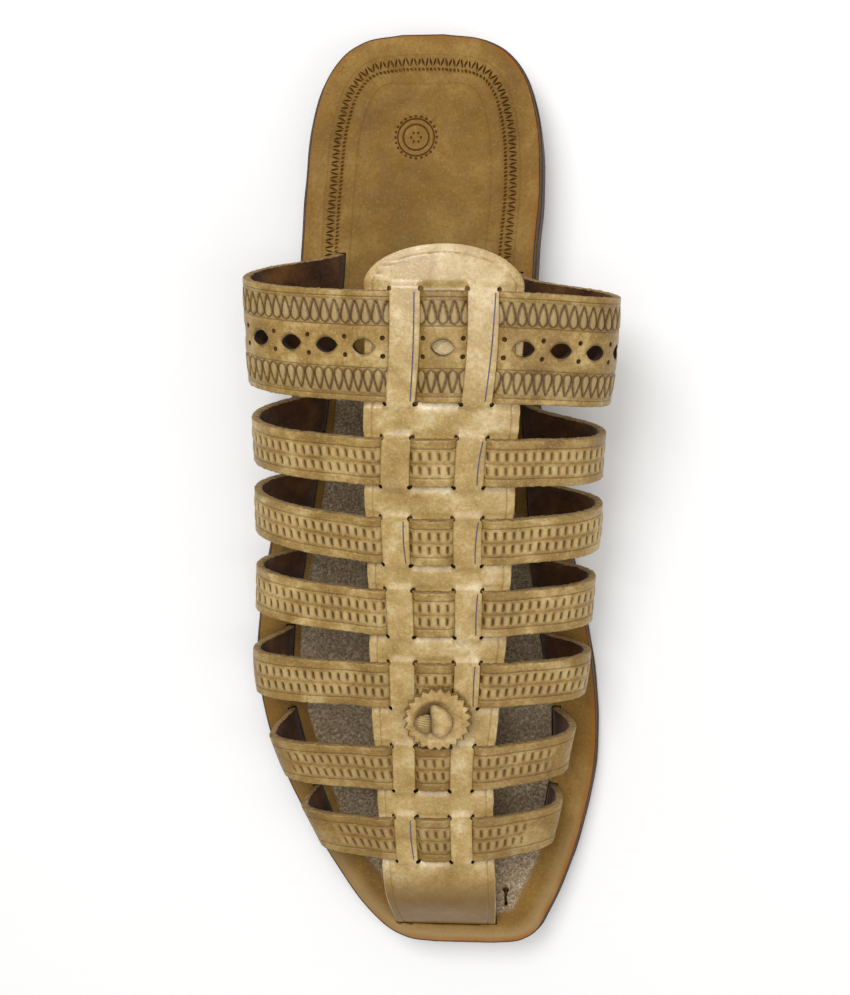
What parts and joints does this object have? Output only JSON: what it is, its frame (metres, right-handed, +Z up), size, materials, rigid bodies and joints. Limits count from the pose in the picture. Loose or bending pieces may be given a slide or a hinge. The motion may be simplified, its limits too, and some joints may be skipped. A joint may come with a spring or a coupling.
{
  "type": "kolhapuri sandal",
  "caption": "Flat leather sandal for the right foot, with a low stacked heel and tooled cross straps woven through a long middle plate with a round rosette.",
  "frame": {"origin": "on the floor, at the middle of the heel's flat bottom", "axes": "+Z up, toe towards -Y, big toe's side towards +X"},
  "size_m": [0.1139, 0.2851, 0.071],
  "materials": {
    "insole_leather": "tooled and waxed",
    "outsole_leather": "dark burnished edge",
    "heel_leather": "dark burnished edge",
    "upper_leather": "tooled, semi-gloss",
    "rosette_leather": "satin",
    "thong_leather": "satin"
  },
  "bodies": {
    "root": {"insole": "insole_leather", "outsole": "outsole_leather", "heel_lift_1": "heel_leather", "heel_lift_2": "heel_leather", "heel_top_piece": "heel_leather", "upper": "upper_leather", "rosette": "rosette_leather", "rosette_knot": "thong_leather"}
  },
  "joints": []
}
